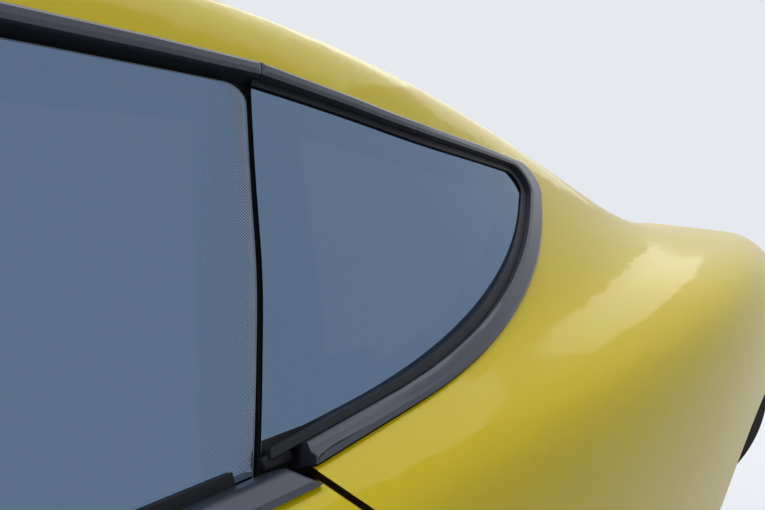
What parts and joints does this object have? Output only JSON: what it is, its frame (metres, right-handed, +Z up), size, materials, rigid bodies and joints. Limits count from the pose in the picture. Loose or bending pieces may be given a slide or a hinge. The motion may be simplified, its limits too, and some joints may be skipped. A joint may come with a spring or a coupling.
{
  "type": "car body side with door",
  "caption": "Left body side of a two-seat coupe: side panel with quarter window, hinged frameless door, trims and seals.",
  "frame": {"origin": "on the inner joint face of the sill, below the rear edge of the door glass", "axes": "+X to the tail, +Y to the middle of the car, out of the joint face, +Z up"},
  "size_m": [3.2, 0.7591, 1.1619],
  "materials": {
    "body_paint": "gloss clearcoat",
    "satin_trim": "satin",
    "window_rubber": "matt",
    "tinted_glass": "tinted",
    "inner_panel": "matt",
    "liner": "grained",
    "door_panel": "grained",
    "hinge_steel": "plain",
    "black_trim": "satin",
    "mirror_face": "polished"
  },
  "bodies": {
    "body_side": {"side_panel": "body_paint", "door_jamb": "body_paint", "windscreen_pillar_inner": "inner_panel", "roof_rail_inner": "inner_panel", "quarter_frame": "inner_panel", "quarter_inner": "inner_panel", "side_inner": "inner_panel", "lock_pillar": "inner_panel", "hinge_pillar": "inner_panel", "sill": "body_paint", "wheel_housing": "liner", "quarter_glass": "tinted_glass", "quarter_surround": "satin_trim", "quarter_seal": "window_rubber", "post_seal": "window_rubber", "roof_rail_trim": "satin_trim", "roof_rail_seal": "window_rubber", "glass_lip_seal": "window_rubber", "door_lip_seal": "window_rubber", "striker": "hinge_steel", "hinge_lower_body_leaf": "hinge_steel", "hinge_upper_body_leaf": "hinge_steel"},
    "door": {"door_shell": "body_paint", "door_trim": "door_panel", "door_armrest": "door_panel", "speaker_cover": "black_trim", "inner_handle": "hinge_steel", "outer_handle": "body_paint", "door_glass": "tinted_glass", "door_belt_trim": "satin_trim", "door_outer_wiper": "window_rubber", "door_inner_wiper": "window_rubber", "door_latch": "hinge_steel", "mirror_foot": "black_trim", "mirror_housing": "body_paint", "mirror_glass": "mirror_face", "hinge_lower_door_leaf": "hinge_steel", "hinge_upper_door_leaf": "hinge_steel"}
  },
  "joints": [
    {"name": "door_hinge", "type": "hinge", "parent": "body_side", "child": "door", "pos_m": [-1.122, -0.158, 0.3], "axis": [0, 0, -1], "range_deg": [0, 63]}
  ]
}
